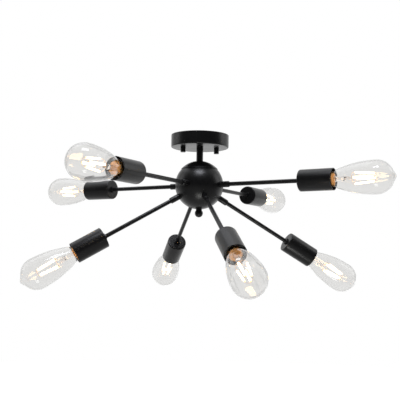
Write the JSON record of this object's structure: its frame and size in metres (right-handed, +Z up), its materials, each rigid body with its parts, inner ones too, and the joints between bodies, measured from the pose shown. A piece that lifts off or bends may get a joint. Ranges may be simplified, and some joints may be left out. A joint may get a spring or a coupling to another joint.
{
  "type": "sputnik chandelier",
  "caption": "Semi-flush ceiling light: a black ball under a round canopy carries straight radial arms on two levels, each ending in a cup with a clear teardrop filament lamp.",
  "frame": {"origin": "centre of the ceiling plane: the middle of the crossbar's top face and of the canopy's rim, midway between the two outlet-box slots", "axes": "+Z up, out of the ceiling plane and along the canopy's rim normal; +X along the crossbar, through both box slots and both canopy studs, and over lamp 1"},
  "size_m": [0.7088, 0.7088, 0.323],
  "materials": {
    "black_coat": "satin-matte black powder coat on steel",
    "zinc_steel": "bright zinc plate",
    "holder_moulding": "black phenolic moulding",
    "holder_brass": "pressed brass, warm",
    "bulb_cap_brass": "rolled brass thread",
    "bulb_solder": "dull solder",
    "bulb_glass": "clear blown glass",
    "bulb_filament": "phosphor-coated strips that glow warm white, on wires and a glass stem"
  },
  "bodies": {
    "root": {"canopy": "black_coat", "stem_sleeve": "black_coat", "ball_cap": "black_coat", "ball_shell": "black_coat", "finial": "black_coat", "arm_couplings": "black_coat", "cap_nuts": "black_coat", "crossbar": "zinc_steel", "studs_and_nuts": "zinc_steel", "centre_tube": "zinc_steel", "lampholder_bodies": "holder_moulding", "lampholder_contacts": "holder_brass", "arm_1": "black_coat", "cup_1": "black_coat", "arm_2": "black_coat", "cup_2": "black_coat", "arm_3": "black_coat", "cup_3": "black_coat", "arm_4": "black_coat", "cup_4": "black_coat", "arm_5": "black_coat", "cup_5": "black_coat", "arm_6": "black_coat", "cup_6": "black_coat", "arm_7": "black_coat", "cup_7": "black_coat", "arm_8": "black_coat", "cup_8": "black_coat"},
    "bulb_1_tip": {"bulb_1_contact": "bulb_solder"},
    "bulb_1": {"bulb_1_base": "bulb_cap_brass", "bulb_1_glass": "bulb_glass", "bulb_1_filament": "bulb_filament"},
    "bulb_2_tip": {"bulb_2_contact": "bulb_solder"},
    "bulb_2": {"bulb_2_base": "bulb_cap_brass", "bulb_2_glass": "bulb_glass", "bulb_2_filament": "bulb_filament"},
    "bulb_3_tip": {"bulb_3_contact": "bulb_solder"},
    "bulb_3": {"bulb_3_base": "bulb_cap_brass", "bulb_3_glass": "bulb_glass", "bulb_3_filament": "bulb_filament"},
    "bulb_4_tip": {"bulb_4_contact": "bulb_solder"},
    "bulb_4": {"bulb_4_base": "bulb_cap_brass", "bulb_4_glass": "bulb_glass", "bulb_4_filament": "bulb_filament"},
    "bulb_5_tip": {"bulb_5_contact": "bulb_solder"},
    "bulb_5": {"bulb_5_base": "bulb_cap_brass", "bulb_5_glass": "bulb_glass", "bulb_5_filament": "bulb_filament"},
    "bulb_6_tip": {"bulb_6_contact": "bulb_solder"},
    "bulb_6": {"bulb_6_base": "bulb_cap_brass", "bulb_6_glass": "bulb_glass", "bulb_6_filament": "bulb_filament"},
    "bulb_7_tip": {"bulb_7_contact": "bulb_solder"},
    "bulb_7": {"bulb_7_base": "bulb_cap_brass", "bulb_7_glass": "bulb_glass", "bulb_7_filament": "bulb_filament"},
    "bulb_8_tip": {"bulb_8_contact": "bulb_solder"},
    "bulb_8": {"bulb_8_base": "bulb_cap_brass", "bulb_8_glass": "bulb_glass", "bulb_8_filament": "bulb_filament"}
  },
  "joints": [
    {"name": "bulb_1_slide", "type": "slide", "parent": "root", "child": "bulb_1_tip", "axis": [0.866, 0, -0.5], "range_m": [0, 0.01452]},
    {"name": "bulb_1_turn", "type": "hinge", "parent": "bulb_1_tip", "child": "bulb_1", "pos_m": [0.25201, 0, -0.2505], "axis": [0.866, 0, -0.5], "range_deg": [0, 1440]},
    {"name": "bulb_2_slide", "type": "slide", "parent": "root", "child": "bulb_2_tip", "axis": [0.7071, 0.7071, 0], "range_m": [0, 0.01452]},
    {"name": "bulb_2_turn", "type": "hinge", "parent": "bulb_2_tip", "child": "bulb_2", "pos_m": [0.20577, 0.20577, -0.105], "axis": [0.7071, 0.7071, 0], "range_deg": [0, 1440]},
    {"name": "bulb_3_slide", "type": "slide", "parent": "root", "child": "bulb_3_tip", "axis": [0, 0.866, -0.5], "range_m": [0, 0.01452]},
    {"name": "bulb_3_turn", "type": "hinge", "parent": "bulb_3_tip", "child": "bulb_3", "pos_m": [0, 0.25201, -0.2505], "axis": [0, 0.866, -0.5], "range_deg": [0, 1440]},
    {"name": "bulb_4_slide", "type": "slide", "parent": "root", "child": "bulb_4_tip", "axis": [-0.7071, 0.7071, 0], "range_m": [0, 0.01452]},
    {"name": "bulb_4_turn", "type": "hinge", "parent": "bulb_4_tip", "child": "bulb_4", "pos_m": [-0.20577, 0.20577, -0.105], "axis": [-0.7071, 0.7071, 0], "range_deg": [0, 1440]},
    {"name": "bulb_5_slide", "type": "slide", "parent": "root", "child": "bulb_5_tip", "axis": [-0.866, 0, -0.5], "range_m": [0, 0.01452]},
    {"name": "bulb_5_turn", "type": "hinge", "parent": "bulb_5_tip", "child": "bulb_5", "pos_m": [-0.25201, 0, -0.2505], "axis": [-0.866, 0, -0.5], "range_deg": [0, 1440]},
    {"name": "bulb_6_slide", "type": "slide", "parent": "root", "child": "bulb_6_tip", "axis": [-0.7071, -0.7071, 0], "range_m": [0, 0.01452]},
    {"name": "bulb_6_turn", "type": "hinge", "parent": "bulb_6_tip", "child": "bulb_6", "pos_m": [-0.20577, -0.20577, -0.105], "axis": [-0.7071, -0.7071, 0], "range_deg": [0, 1440]},
    {"name": "bulb_7_slide", "type": "slide", "parent": "root", "child": "bulb_7_tip", "axis": [0, -0.866, -0.5], "range_m": [0, 0.01452]},
    {"name": "bulb_7_turn", "type": "hinge", "parent": "bulb_7_tip", "child": "bulb_7", "pos_m": [0, -0.25201, -0.2505], "axis": [0, -0.866, -0.5], "range_deg": [0, 1440]},
    {"name": "bulb_8_slide", "type": "slide", "parent": "root", "child": "bulb_8_tip", "axis": [0.7071, -0.7071, 0], "range_m": [0, 0.01452]},
    {"name": "bulb_8_turn", "type": "hinge", "parent": "bulb_8_tip", "child": "bulb_8", "pos_m": [0.20577, -0.20577, -0.105], "axis": [0.7071, -0.7071, 0], "range_deg": [0, 1440]}
  ],
  "couplings": [
    {"joint": "bulb_1_slide", "follows": "bulb_1_turn", "m_per_rad": 0.0005775},
    {"joint": "bulb_2_slide", "follows": "bulb_2_turn", "m_per_rad": 0.0005775},
    {"joint": "bulb_3_slide", "follows": "bulb_3_turn", "m_per_rad": 0.0005775},
    {"joint": "bulb_4_slide", "follows": "bulb_4_turn", "m_per_rad": 0.0005775},
    {"joint": "bulb_5_slide", "follows": "bulb_5_turn", "m_per_rad": 0.0005775},
    {"joint": "bulb_6_slide", "follows": "bulb_6_turn", "m_per_rad": 0.0005775},
    {"joint": "bulb_7_slide", "follows": "bulb_7_turn", "m_per_rad": 0.0005775},
    {"joint": "bulb_8_slide", "follows": "bulb_8_turn", "m_per_rad": 0.0005775}
  ]
}
